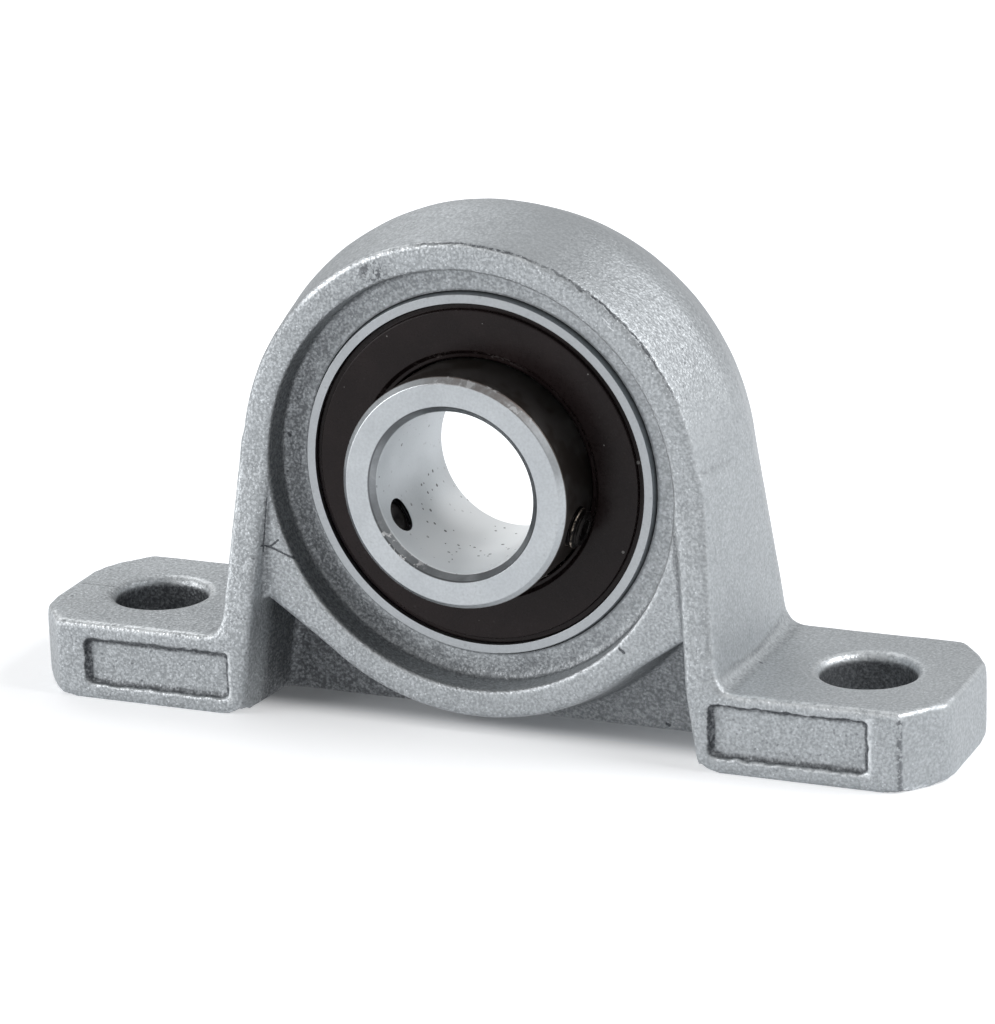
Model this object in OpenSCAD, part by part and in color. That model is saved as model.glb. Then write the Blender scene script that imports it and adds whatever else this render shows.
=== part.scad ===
// Pillow block bearing: a cast two-bolt housing with a self-aligning ball bearing insert.
// The frame has +Z up, +X along the foot and +Y along the shaft, away from the set screws.
// Its origin is on the mounting plane, under the shaft's centre, midway between the bolts.

/* [Housing] */
// Height of the shaft's centre above the mounting plane
shaft_h = 19; // [18:0.5:24]
// Overall length of the foot
foot_len = 71; // [68:0.5:84]
// Depth of the foot, from front to back
foot_w = 16; // [14:0.5:20]
// Thickness of the foot at its bolts
foot_t = 6; // [5:0.25:8]
// Distance between the two bolt holes
bolt_span = 56; // [54:0.5:60]
// Diameter of a bolt hole
bolt_d = 7; // [5:0.1:8]
// Length of the slanted corner of a foot, along the foot
corner_len = 2.7; // [1.5:0.1:3.5]
// Depth of the slanted corner of a foot, from front to back
corner_depth = 3.5; // [1.5:0.1:4.5]
// Depth of the ring that holds the bearing, from front to back
ring_w = 12; // [10.5:0.25:13.5]
// Width of the ring's front rim, around the recess
rim_w = 2.1; // [1.5:0.1:3]
// How far the ring's outside swells from its faces to the parting line
ring_draft = 1.3; // [0.8:0.1:1.6]
// Width of the flat band at the parting line
parting_w = 2; // [1:0.25:3]
// Gap between the bearing and the wall of the ring's recess
recess_gap = 1.6; // [1:0.1:2.2]
// Width of the spherical seat
seat_w = 7; // [6:0.25:7.5]
// Thickness of the web between the legs
web_t = 2; // [1.5:0.25:3.5]
// Height of the corner where the ring meets the inside of a leg
pocket_h = 9.3; // [8:0.1:10]
// How far the inside of a leg runs outwards from its top to the top of the foot
leg_flare = 1.4; // [1:0.1:1.8]
// How far it runs outwards from there to the base
base_flare = 0.9; // [0.4:0.1:1.2]
// Radius of the fillet between a leg and the top of the foot
foot_fillet = 1.3; // [0.5:0.1:2]
// Radius of the lower edge under the inside of a leg
base_round = 1.2; // [0.5:0.1:1.5]
// Depth of the bare panels in the front of the foot
panel_depth = 0.5; // [0.2:0.05:1]
// Length of a bare panel
panel_len = 11.7; // [9:0.1:13]

/* [Bearing insert] */
// Shaft bore
bore_d = 12; // [11:0.25:13]
// Diameter of the spherical outside of the outer ring
insert_od = 28; // [27:0.25:29.5]
// Width of the outer ring
outer_w = 8; // [8:0.1:9]
// How far the inner ring stands out in front of the outer ring
inner_proj = 4.7; // [4.5:0.1:6.5]
// Ball diameter
ball_d = 4.762; // [4.5:0.01:4.9]
// Height of a raceway's shoulder
shoulder_h = 0.98; // [0.8:0.02:1.1]
// Width of the outer ring's flat face
outer_rim_w = 0.55; // [0.4:0.05:0.7]
// Width of the groove between the outer ring and the seal's face
seal_groove_w = 0.52; // [0.3:0.02:0.7]
// Chamfer at each end of the bore
bore_chamfer = 0.52; // [0.2:0.02:0.8]

/* [Set screws] */
// Thread diameter of a set screw
screw_d = 3; // [2.5:0.1:3.4]
// Length of a set screw
screw_len = 3; // [2.5:0.1:4]
// How far a loosened screw's point stays short of the bore
screw_back = 0.35; // [0.1:0.05:0.6]
// Direction of the first set screw, counter-clockwise from +X as seen from the front
screw_angle = 208.5; // [180:0.5:240]
// Angle between the two set screws
screw_spread = 135; // [90:5:150]

/* [Hidden] */
$fn = 96;

zinc = [0.62, 0.62, 0.63];
ring_steel = [0.78, 0.77, 0.75];
rubber = [0.19, 0.17, 0.16];
pressed_steel = [0.66, 0.66, 0.68];
ball_steel = [0.85, 0.85, 0.87];
screw_black = [0.24, 0.23, 0.24];

// A cut starts and ends this far outside what it cuts
over = 1;
// Thickness of the slices that a leg's faces are drawn between
slice = 0.01;

// Fits, all on the radius
seat_fit = 0.05;
race_fit = 0.03;
screw_fit = 0.03;
rivet_fit = 0.03;
pocket_fit = 0.05;
bead_fit = 0.02;
lip_gap = 0.15;

// Housing
insert_r = insert_od / 2;
recess_r = insert_r + recess_gap;
face_r = recess_r + rim_w;
ring_r = face_r + ring_draft;
// The outside of a leg runs on above the shaft by leg_rise, and leaves the ring there
leg_rise = 2;
leg_top_z = shaft_h + leg_rise;
leg_top_rear = sqrt(pow(face_r, 2) - pow(leg_rise, 2));
leg_top_front = leg_top_rear + 0.2;
leg_top_middle = sqrt(pow(ring_r, 2) - pow(leg_rise, 2));
leg_foot_in = recess_r + leg_flare;
leg_foot_front = ring_r + 0.3;
leg_foot_middle = ring_r + 0.6;
leg_base_in = leg_foot_in + base_flare;
leg_base_out = leg_foot_middle + foot_fillet;
// A foot and its fillet start inside the leg, so that no gap is left under the fillet
foot_start = leg_foot_front - foot_fillet / 2;
// The inside of a leg narrows the space beside the web by this much
pocket_draft = 0.9;
panel_start = ring_r - 0.2;
panel_low = 1.15;
panel_top_left = 1.35;
panel_top_right = 0.9;
panel_round = 0.6;

// Bearing insert, with its axis as Z and its front at positive Z
bore_r = bore_d / 2;
ball_r = ball_d / 2;
pitch_r = (bore_r + insert_r) / 2;
ball_count = 8;
groove_r = 1.04 * ball_r;
inner_land_r = pitch_r - ball_r + shoulder_h;
outer_land_r = pitch_r + ball_r - shoulder_h;
outer_half = outer_w / 2;
inner_front = outer_half + inner_proj;
outer_face_r = sqrt(pow(insert_r, 2) - pow(outer_half, 2));
inner_chamfer = 0.25;

// Seals
seat_depth = 1;
bead_depth = 0.4;
bead_r = outer_face_r - outer_rim_w - bead_fit;
seal_r = bead_r + bead_fit - seal_groove_w;
lip_r = inner_land_r + lip_gap;
lip_w = 0.55;
lip_step = 0.25;
rubber_t = 0.7;
core_t = 0.25;
core_edge = 0.65;

// Cage
cage_t = 0.4;
cage_half_w = 0.8;
rivet_r = 0.35;
rivet_head_r = 0.6;
rivet_head_t = 0.25;

// Set screws
screw_r = screw_d / 2;
screw_clear = 0.4;
screw_z = outer_half + screw_clear + screw_r;
screw_tip = bore_r + screw_back;
screw_chamfer = 0.35;
socket_af = screw_d / 2;
socket_depth = 1.3;
cup_depth = 0.3;

// Turns a shape drawn about the bearing's own axis into the housing, front side forwards
module on_shaft() {
    translate([0, 0, shaft_h]) rotate([90, 0, 0]) children();
}

// A ring of the section drawn by its children
module turned() {
    on_shaft() rotate_extrude() children();
}

// Repeats its children on the other side of the shaft
module both_sides() {
    children();
    mirror([1, 0, 0]) children();
}

// Ring casting, solid, swelling from its two faces to the parting line
module ring_blank() {
    turned() polygon([[0, -ring_w / 2], [face_r, -ring_w / 2], [ring_r, -parting_w],
        [ring_r, 0], [face_r, ring_w / 2], [0, ring_w / 2]]);
}

// Plan of the right leg where it leaves the ring
module leg_top_plan() {
    front = ring_w / 2;
    polygon([[recess_r, -front], [leg_top_front, -front], [leg_top_middle, 0],
        [leg_top_middle, parting_w], [leg_top_rear, front], [recess_r, front]]);
}

// Plan of the right leg at the top of the foot
module leg_foot_plan() {
    front = foot_w / 2;
    polygon([[leg_foot_in, -front], [leg_foot_front, -front], [leg_foot_middle, 0],
        [leg_foot_front, front], [leg_foot_in, front], [leg_foot_in - pocket_draft, 0]]);
}

// Plan of the right leg at the base
module leg_base_plan() {
    front = foot_w / 2;
    polygon([[leg_base_in, -front], [leg_base_out, -front], [leg_base_out, front],
        [leg_base_in, front], [leg_base_in - pocket_draft, 0]]);
}

// Side view of a leg, which leans outwards from the ring's faces to those of the foot
module leg_side_view() {
    rotate([90, 0, 90]) linear_extrude(foot_len / 2)
        polygon([[-foot_w / 2, 0], [foot_w / 2, 0], [foot_w / 2, foot_t],
            [ring_w / 2, shaft_h], [ring_w / 2, leg_top_z],
            [-ring_w / 2, leg_top_z], [-ring_w / 2, shaft_h], [-foot_w / 2, foot_t]]);
}

// Fillet between the right leg and the top of the foot, along the whole depth of the foot
module leg_fillet() {
    length = leg_foot_front + foot_fillet - foot_start;
    translate([foot_start, foot_w / 2, foot_t - slice]) rotate([90, 0, 0]) linear_extrude(foot_w)
        difference() {
            square([length, foot_fillet + slice]);
            translate([length, foot_fillet + slice]) circle(foot_fillet);
        }
}

// Right leg, with its fillet
module leg() {
    intersection() {
        leg_side_view();
        union() {
            hull() {
                translate([0, 0, leg_top_z - slice]) linear_extrude(slice) leg_top_plan();
                translate([0, 0, foot_t]) linear_extrude(slice) leg_foot_plan();
            }
            hull() {
                translate([0, 0, foot_t]) linear_extrude(slice) leg_foot_plan();
                linear_extrude(slice) leg_base_plan();
            }
            leg_fillet();
        }
    }
}

// Right foot, with its slanted corners
module foot() {
    end = foot_len / 2;
    side = foot_w / 2;
    linear_extrude(foot_t) polygon([[foot_start, -side], [end - corner_len, -side],
        [end, -side + corner_depth], [end, side - corner_depth], [end - corner_len, side],
        [foot_start, side]]);
}

// Wedge that joins the ring to the inside of the right leg, tangent to the ring's rim
module gusset() {
    corner = [leg_foot_in, pocket_h - shaft_h];
    reach = norm(corner);
    tangent = atan2(corner[1], corner[0]) - acos(face_r / reach);
    touch = face_r * [cos(tangent), sin(tangent)];
    on_shaft() translate([0, 0, -ring_w / 2]) linear_extrude(ring_w)
        polygon([touch, corner, [recess_r, 0], touch * recess_r / face_r]);
}

// Thin wall that closes the space between the legs
module web() {
    translate([-leg_foot_in, -web_t / 2, 0]) cube([2 * leg_foot_in, web_t, shaft_h]);
}

// Bare panel, sunk into the front of the right foot, with two round corners below
module panel(top_edge) {
    height = foot_t - panel_low - top_edge;
    translate([panel_start, panel_depth - foot_w / 2, panel_low]) rotate([90, 0, 0])
        linear_extrude(panel_depth + over) {
            translate([0, panel_round]) square([panel_len, height - panel_round]);
            translate([panel_round, 0]) square([panel_len - 2 * panel_round, height]);
            for (x = [panel_round, panel_len - panel_round])
                translate([x, panel_round]) circle(panel_round);
        }
}

// What is left out under the inside of the right leg, to round its lower edge
module base_edge() {
    translate([leg_base_in - pocket_draft - over, foot_w, -over]) rotate([90, 0, 0])
        linear_extrude(2 * foot_w) difference() {
            square([pocket_draft + over + base_round, over + base_round]);
            translate([pocket_draft + over + base_round, over + base_round]) circle(base_round);
            translate([0, over]) square([pocket_draft + over, over + base_round]);
        }
}

// Recess in front and behind, and the spherical seat between them
module ring_cut() {
    on_shaft() {
        for (side = [1, -1]) scale([1, 1, side]) translate([0, 0, seat_w / 2])
            cylinder(r = recess_r, h = foot_w);
        sphere(insert_r + seat_fit, $fn = 128);
    }
}

module housing() {
    color(zinc) difference() {
        union() {
            ring_blank();
            both_sides() {
                leg();
                foot();
                gusset();
            }
            web();
        }
        ring_cut();
        both_sides() translate([bolt_span / 2, 0, -over]) cylinder(d = bolt_d, h = foot_t + 2 * over);
        both_sides() base_edge();
        panel(panel_top_right);
        mirror([1, 0, 0]) panel(panel_top_left);
        translate([-foot_len, -foot_w, -foot_len]) cube([2 * foot_len, 2 * foot_w, foot_len]);
    }
}

module outer_ring() {
    color(ring_steel) turned() difference() {
        intersection() {
            translate([outer_land_r, -outer_half]) square([insert_r, outer_w]);
            circle(insert_r);
        }
        translate([pitch_r + ball_r + race_fit - groove_r, 0]) circle(groove_r);
        for (side = [1, -1]) scale([1, side]) translate([0, outer_half - seat_depth])
            square([outer_face_r - outer_rim_w, seat_depth + over]);
    }
}

// Radial hole or solid at each set screw, from its angle about the bearing's axis
module at_screw(index) {
    rotate([0, 0, screw_angle + index * screw_spread]) translate([0, 0, screw_z])
        rotate([0, 90, 0]) children();
}

module inner_ring() {
    color(ring_steel) on_shaft() difference() {
        rotate_extrude() difference() {
            polygon([[bore_r + bore_chamfer, -outer_half], [inner_land_r - inner_chamfer, -outer_half],
                [inner_land_r, -outer_half + inner_chamfer], [inner_land_r, inner_front - inner_chamfer],
                [inner_land_r - inner_chamfer, inner_front], [bore_r + bore_chamfer, inner_front],
                [bore_r, inner_front - bore_chamfer], [bore_r, -outer_half + bore_chamfer]]);
            translate([pitch_r - ball_r - race_fit + groove_r, 0]) circle(groove_r);
        }
        for (index = [0, 1]) at_screw(index) cylinder(r = screw_r + screw_fit, h = inner_land_r + over);
    }
}

// Rubber of a seal: a flat face, a stepped lip and a bead that sits in the outer ring
module seal_section() {
    polygon([[lip_r, outer_half - rubber_t], [lip_r, outer_half - lip_step],
        [lip_r + lip_w, outer_half - lip_step], [lip_r + lip_w, outer_half], [seal_r, outer_half],
        [seal_r, outer_half - bead_depth], [bead_r, outer_half - bead_depth],
        [bead_r, outer_half - seat_depth], [bead_r - core_edge, outer_half - seat_depth],
        [bead_r - core_edge, outer_half - rubber_t]]);
}

// Steel washer that stiffens a seal from inside
module core_section() {
    inner = lip_r + lip_w;
    translate([inner, outer_half - rubber_t - core_t])
        square([bead_r - core_edge - bead_fit - inner, core_t]);
}

module front_seal() {
    color(rubber) turned() seal_section();
}

module front_seal_core() {
    color(pressed_steel) turned() core_section();
}

module rear_seal() {
    color(rubber) turned() scale([1, -1]) seal_section();
}

module rear_seal_core() {
    color(pressed_steel) turned() scale([1, -1]) core_section();
}

// Place of a ball, or with a half step of a rivet, on the pitch circle
module on_pitch(step) {
    rotate([0, 0, 90 + step * 360 / ball_count]) translate([pitch_r, 0, 0]) children();
}

// Front half of the cage: flat tabs between the balls and a cupped pocket over each ball
module cage_half() {
    pocket_r = ball_r + pocket_fit;
    difference() {
        intersection() {
            difference() {
                cylinder(r = pitch_r + cage_half_w, h = pocket_r + cage_t);
                translate([0, 0, -over]) cylinder(r = pitch_r - cage_half_w, h = ball_d + 2 * over);
            }
            union() {
                cylinder(r = insert_r, h = cage_t);
                for (step = [0:ball_count - 1]) on_pitch(step) sphere(pocket_r + cage_t);
            }
        }
        for (step = [0:ball_count - 1]) {
            on_pitch(step) sphere(pocket_r);
            on_pitch(step + 0.5) translate([0, 0, -over])
                cylinder(r = rivet_r + rivet_fit, h = cage_t + 2 * over);
        }
    }
}

module cage_front_half() {
    color(pressed_steel) on_shaft() cage_half();
}

module cage_rear_half() {
    color(pressed_steel) on_shaft() mirror([0, 0, 1]) cage_half();
}

// Rivets through the tabs of both cage halves, with a flat head at each end
module cage_rivets() {
    color(ball_steel) on_shaft() for (step = [0:ball_count - 1]) on_pitch(step + 0.5) {
        translate([0, 0, -cage_t]) cylinder(r = rivet_r, h = 2 * cage_t);
        for (side = [1, -1]) scale([1, 1, side]) translate([0, 0, cage_t])
            cylinder(r = rivet_head_r, h = rivet_head_t);
    }
}

module ball(number) {
    color(ball_steel) on_shaft() on_pitch(number - 1) sphere(ball_r);
}

// Cup-point socket set screw, with its socket outwards
module set_screw(index) {
    color(screw_black) on_shaft() at_screw(index) translate([0, 0, screw_tip]) difference() {
        rotate_extrude() polygon([[0, cup_depth], [screw_r - 2 * screw_chamfer, 0],
            [screw_r - screw_chamfer, 0], [screw_r, screw_chamfer], [screw_r, screw_len - screw_chamfer],
            [screw_r - screw_chamfer, screw_len], [0, screw_len]]);
        translate([0, 0, screw_len - socket_depth])
            cylinder(d = socket_af / cos(30), h = socket_depth + over, $fn = 6);
    }
}

housing();
outer_ring();
inner_ring();
front_seal();
front_seal_core();
rear_seal();
rear_seal_core();
cage_front_half();
cage_rear_half();
cage_rivets();
ball(1);  // ball_1
ball(2);  // ball_2
ball(3);  // ball_3
ball(4);  // ball_4
ball(5);  // ball_5
ball(6);  // ball_6
ball(7);  // ball_7
ball(8);  // ball_8
set_screw(0);  // set_screw_1
set_screw(1);  // set_screw_2
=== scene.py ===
import math
from functools import partialmethod

import bmesh
import bpy
import numpy as np
from mathutils import Matrix, Vector, noise


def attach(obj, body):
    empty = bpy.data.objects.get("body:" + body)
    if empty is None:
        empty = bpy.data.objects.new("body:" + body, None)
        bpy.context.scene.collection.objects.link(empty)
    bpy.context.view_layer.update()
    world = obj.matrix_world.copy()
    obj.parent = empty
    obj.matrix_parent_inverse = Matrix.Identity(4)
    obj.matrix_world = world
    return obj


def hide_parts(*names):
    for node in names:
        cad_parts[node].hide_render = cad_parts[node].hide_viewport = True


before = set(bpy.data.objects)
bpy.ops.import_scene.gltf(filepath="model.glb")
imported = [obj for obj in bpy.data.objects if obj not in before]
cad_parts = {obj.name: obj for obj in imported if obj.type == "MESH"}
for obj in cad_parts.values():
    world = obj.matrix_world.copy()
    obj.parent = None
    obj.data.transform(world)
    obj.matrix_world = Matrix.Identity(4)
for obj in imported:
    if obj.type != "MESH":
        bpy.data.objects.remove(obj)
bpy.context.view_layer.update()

MM = 0.001

# Casting, in millimetres
SHAFT_H = 19.0
FOOT_HALF = 35.5
FOOT_W = 16.0
FOOT_T = 6.0
RING_FACE_R = 17.7
RECESS_R = 15.6
RING_HALF = 6.0
SEAT_R = 14.05
SEAT_HALF = 3.5
PANEL_START = 18.8
PANEL_LEN = 11.7
PANEL_LOW = 1.15
PANEL_TOPS = {-1: 4.65, 1: 5.1}
BOLT_X = 28.0
BOLT_R = 3.5
HOLE_BEVEL = 0.38

# Bearing, in millimetres: radius from the shaft's axis, and distance in front of the balls
BORE_R = 6.0
BORE_CHAMFER = 0.52
LAND_R = 8.6
INNER_FRONT = 8.7
OUTER_HALF = 4.0
INSERT_R = 14.0
OUTER_LAND_R = 11.401
OUTER_FACE_R = 13.416
SEAL_POCKET_R = 12.76
SEAL_R = 12.31
LIP_R = 8.75
PITCH_R = 10.0
BALL_R = 2.381
GROOVE_R = 1.04 * BALL_R
RACE_FIT = 0.03

# Set screws
SCREW_R = 1.5
SCREW_LEN = 3.0
SCREW_PITCH = 0.5
SCREW_TIP = 6.35
SCREW_Z = 5.9
SCREW_HOLE_R = 1.53
SCREW_MOUTH_R = 1.27
SCREW_ANGLES = {"set_screw_1": 208.5, "set_screw_2": 343.5}
SOCKET_AF = 1.5
SOCKET_DEPTH = 1.3

# Zinc between its dark and its light grains
ZINC_DARK = (0.36, 0.38, 0.396)
ZINC_LIGHT = (0.56, 0.588, 0.610)
# Dark scratches and pits of the casting: start, end and half width, in millimetres
SCRATCHES = [
    ((-34.9, 0.0, 6.0), (-31.6, 0.15, 6.0), 0.05),
    ((13.0, -1.0, 0.5), (13.2, -1.0, 0.4), 0.16),
    ((11.4, -6.0, 7.8), (11.75, -6.0, 7.55), 0.14),
    ((17.4, -7.4, 4.5), (17.5, -7.4, 4.4), 0.10),
    ((13.1, -6.0, 5.65), (13.25, -6.0, 5.6), 0.10),
    ((-15.05, -3.5, 20.75), (-14.95, -3.5, 20.55), 0.13),
    ((18.7, -0.1, 18.8), (18.75, -0.1, 18.7), 0.09),
    ((20.3, -1.2, 6.2), (20.4, -1.2, 6.1), 0.16),
    ((-22.6, -7.6, 2.4), (-22.3, -7.6, 2.5), 0.10),
    ((13.9, -2.9, 32.0), (14.7, -2.8, 31.1), 0.07)]
# Dark cracks in the front of the casting, and last a painted shadow line along the crease where the left
# leg's front steps out from the ring's face; wherever the skin lies, in the same form with 0 for Y
CRACKS_AND_CREASE_SHADOW = [
    ((-16.2, 0.0, 12.9), (-13.9, 0.0, 12.0), 0.10),
    ((-15.7, 0.0, 12.8), (-15.1, 0.0, 13.3), 0.10),
    ((-15.8, 0.0, 16.5), (-16.2, 0.0, 12.4), 0.04)]
# Bright nicks of the casting, in the same form as the scratches
NICKS = [
    ((10.75, -6.0, 32.1), (11.2, -6.0, 31.65), 0.05),
    ((11.1, -6.0, 31.55), (11.5, -6.0, 31.25), 0.05),
    ((9.1, 1.1, 35.7), (9.5, -0.9, 35.5), 0.05)]
# Values that each vertex of the casting carries
CASTING_MASKS = ("wear_and_highlight", "torn_edge", "torn_line", "painted_shade", "coarse")
# How many faces the casting keeps
CASTING_FACES = 186000


# Shader nodes and the groups that several finishes share

class Wire:
    """An output of a node. Plain arithmetic with it adds the nodes that do the sum."""

    def __init__(self, socket):
        self.socket = socket
        self.tree = socket.id_data

    def do(self, operation, *others, clamp=False):
        return put(self.tree, "ShaderNodeMath", dict(enumerate((self,) + others)),
                   operation=operation, use_clamp=clamp)[0]

    def vector(self, operation, other, socket=1):
        return put(self.tree, "ShaderNodeVectorMath", {0: self, socket: other}, operation=operation)

    __add__ = partialmethod(do, "ADD")
    __sub__ = partialmethod(do, "SUBTRACT")
    __mul__ = partialmethod(do, "MULTIPLY")
    __truediv__ = partialmethod(do, "DIVIDE")
    __gt__ = partialmethod(do, "GREATER_THAN")
    __lt__ = partialmethod(do, "LESS_THAN")
    __abs__ = partialmethod(do, "ABSOLUTE")
    larger = partialmethod(do, "MAXIMUM")


class Outputs:
    """The outputs of a node, by name or number."""

    def __init__(self, node):
        self.node = node

    def __getitem__(self, key):
        return Wire(self.node.outputs[key])


def fill(node, inputs):
    """Links each input of a node to a wire, or sets it to a plain value."""
    for key, value in inputs.items():
        if isinstance(value, Wire):
            value.tree.links.new(value.socket, node.inputs[key])
        else:
            node.inputs[key].default_value = value


def put(tree, kind, inputs=None, **settings):
    """The outputs of a new node, with its settings and inputs."""
    made = tree.nodes.new(kind)
    for key, value in settings.items():
        setattr(made, key, value)
    fill(made, inputs or {})
    return Outputs(made)


def mix_colour(factor, a, b):
    """A colour between two, each of which is a wire or its red, green and blue."""
    a, b = (colour + (1,) if isinstance(colour, tuple) else colour for colour in (a, b))
    return put(factor.tree, "ShaderNodeMix", {0: factor, 6: a, 7: b}, data_type="RGBA")[2]


def coated(base, *coats):
    """A colour with coats laid over it in turn, each given as how much of it and its colour."""
    for amount, colour in coats:
        base = mix_colour(amount, base, colour)
    return base


def remap(value, low, high, to_low=0.0, to_high=1.0, kind="LINEAR"):
    return put(value.tree, "ShaderNodeMapRange", {"Value": value, "From Min": low, "From Max": high,
               "To Min": to_low, "To Max": to_high}, interpolation_type=kind)[0]


def ease(value, low, high, to_low=0.0, to_high=1.0):
    return remap(value, low, high, to_low, to_high, "SMOOTHSTEP")


def cloud(vector, scale, detail, rough=0.5):
    """Soft noise from 0 to 1, with features of about 1/scale."""
    return put(vector.tree, "ShaderNodeTexNoise",
               {"Vector": vector, "Scale": scale, "Detail": detail, "Roughness": rough})[0]


def cells(vector, scale):
    """Distance to the nearest of some scattered points, and three random values of that point."""
    points = put(vector.tree, "ShaderNodeTexVoronoi", {"Vector": vector, "Scale": scale})
    return points["Distance"], put(vector.tree, "ShaderNodeSeparateColor", {0: points["Color"]})


def on_mesh(tree, name):
    return put(tree, "ShaderNodeAttribute", attribute_name=name)["Fac"]


def new_group(name, inputs, outputs, family="Shader"):
    """A node group with named sockets of some kinds: its tree, what it is given, its output node."""
    tree = bpy.data.node_groups.new(name, family + "NodeTree")
    for way, sockets in (("INPUT", inputs), ("OUTPUT", outputs)):
        for kind, labels in sockets.items():
            for label in labels:
                tree.interface.new_socket(label, in_out=way, socket_type="NodeSocket" + kind)
    return tree, Outputs(tree.nodes.new("NodeGroupInput")), tree.nodes.new("NodeGroupOutput")


def use_group(group, vector, inputs=None):
    return put(vector.tree, "ShaderNodeGroup", {"Vector": vector, **(inputs or {})}, node_tree=group)


def scratch(place, mark):
    start, end, width = mark
    return use_group(SCRATCH, place, {"From": start, "To": end, "Width": width})[0]


def new_material(name, **settings):
    """A material and its object coordinates, with plain values set on its Principled shader."""
    material = bpy.data.materials.new(name)
    material.use_nodes = True
    shader = material.node_tree.nodes["Principled BSDF"]
    for label, value in settings.items():
        shader.inputs[label.replace("_", " ")].default_value = value
    return material, put(material.node_tree, "ShaderNodeTexCoord")["Object"]


def dress(material, base, rough, height, strength, depth):
    """Feeds a material's shader its colour, its roughness and a relief, whose depth is in metres."""
    bump = put(base.tree, "ShaderNodeBump", {"Height": height, "Strength": strength, "Distance": depth})
    fill(base.tree.nodes["Principled BSDF"], {"Base Color": base, "Roughness": rough, "Normal": bump[0]})
    return material


def shaft_coordinates():
    """Radius from the shaft's axis, angle about it and distance along it, in millimetres and turns."""
    tree, given, out = new_group("About the shaft", {"Vector": ["Vector"]},
                                 {"Float": ["Radius", "Turn", "Depth"]})
    place = put(tree, "ShaderNodeSeparateXYZ", {0: given["Vector"]})
    x = place[0] * 1000.0
    z = place[2] * 1000.0 - SHAFT_H
    fill(out, {"Radius": (x * x + z * z).do("SQRT"), "Turn": z.do("ARCTAN2", x) / (2 * math.pi),
               "Depth": place[1] * 1000.0})
    return tree


def blasted_grain():
    """Fine grain of a blasted casting: height, a shade for its colour, and bright or dark grains."""
    tree, given, out = new_group(
        "Blasted grain", {"Vector": ["Vector"], "Float": ["Grain", "Bright grains", "Dark grains"]},
        {"Float": ["Height", "Shade", "Bright", "Dark"]})
    vector, grain = given["Vector"], given["Grain"]
    fine = cloud(vector, grain, 2.0, 0.7)
    coarse = cloud(vector, grain * 0.4, 1.0)
    lumps = put(tree, "ShaderNodeTexVoronoi", {"Vector": vector, "Scale": grain * 0.95})["Distance"]
    tops = remap(lumps, 0.75, 0.1)
    chip, chip_chance = cells(vector, grain * 1.3)
    pit, pit_chance = cells(vector, grain * 0.8)
    bright = ease(chip, 0.5, 0.25) * (chip_chance[0] > given["Bright grains"])
    dark = ease(pit, 0.42, 0.2) * (pit_chance[1] > given["Dark grains"])
    fill(out, {"Height": tops * 0.55 + fine + coarse * 0.9 - dark * 0.8,
               "Shade": fine * 1.15 + tops * 0.22 + coarse * 0.22, "Bright": bright, "Dark": dark})
    return tree


def scratch_line():
    """Mask of a straight scratch between two points, in millimetres, with a ragged outline."""
    tree, given, out = new_group("Scratch", {"Vector": ["Vector", "From", "To"], "Float": ["Width"]},
                                 {"Float": ["Mask"]})
    spot = given["Vector"].vector("SCALE", 1000.0, "Scale")[0]
    way = given["To"].vector("SUBTRACT", given["From"])[0]
    here = spot.vector("SUBTRACT", given["From"])[0]
    size = way.vector("DOT_PRODUCT", way)["Value"]
    along = here.vector("DOT_PRODUCT", way)["Value"].do("DIVIDE", size, clamp=True)
    gap = here.vector("DISTANCE", way.vector("SCALE", along, "Scale")[0])["Value"]
    width = given["Width"] * remap(cloud(spot, 9.0, 2.0), 0.3, 0.7, 0.55, 1.35)
    fill(out, {"Mask": ease(gap / width, 1.0, 0.55)})
    return tree


def turned_lines():
    """Fine rings that turning or grinding leaves about the shaft's axis."""
    tree, given, out = new_group(
        "Turned lines", {"Vector": ["Vector"], "Float": ["Lines per millimetre"]},
        {"Float": ["Height", "Smear"]})
    about = use_group(SHAFT_FRAME, given["Vector"])
    lines = given["Lines per millimetre"]
    ring = put(tree, "ShaderNodeCombineXYZ", {0: about["Radius"] * lines, 1: about["Depth"] * lines,
                                              2: abs(about["Turn"]) * 1.5})[0]
    fill(out, {"Height": cloud(ring, 1.0, 2.0, 0.7), "Smear": cloud(given["Vector"], 260.0, 3.0, 0.6)})
    return tree


def scattered_specks():
    """Small scattered marks: a mask of dots of one size, kept with the given chance."""
    tree, given, out = new_group(
        "Scattered specks", {"Vector": ["Vector"], "Float": ["Spacing", "Size", "Kept above"]},
        {"Float": ["Mask"]})
    gap, chance = cells(given["Vector"], given["Spacing"])
    fill(out, {"Mask": (gap < chance[2] * given["Size"]) * (chance[0] > given["Kept above"])})
    return tree


SHAFT_FRAME = shaft_coordinates()
GRAIN = blasted_grain()
LINES = turned_lines()
SPECKS = scattered_specks()
SCRATCH = scratch_line()


# Finishes

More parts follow.
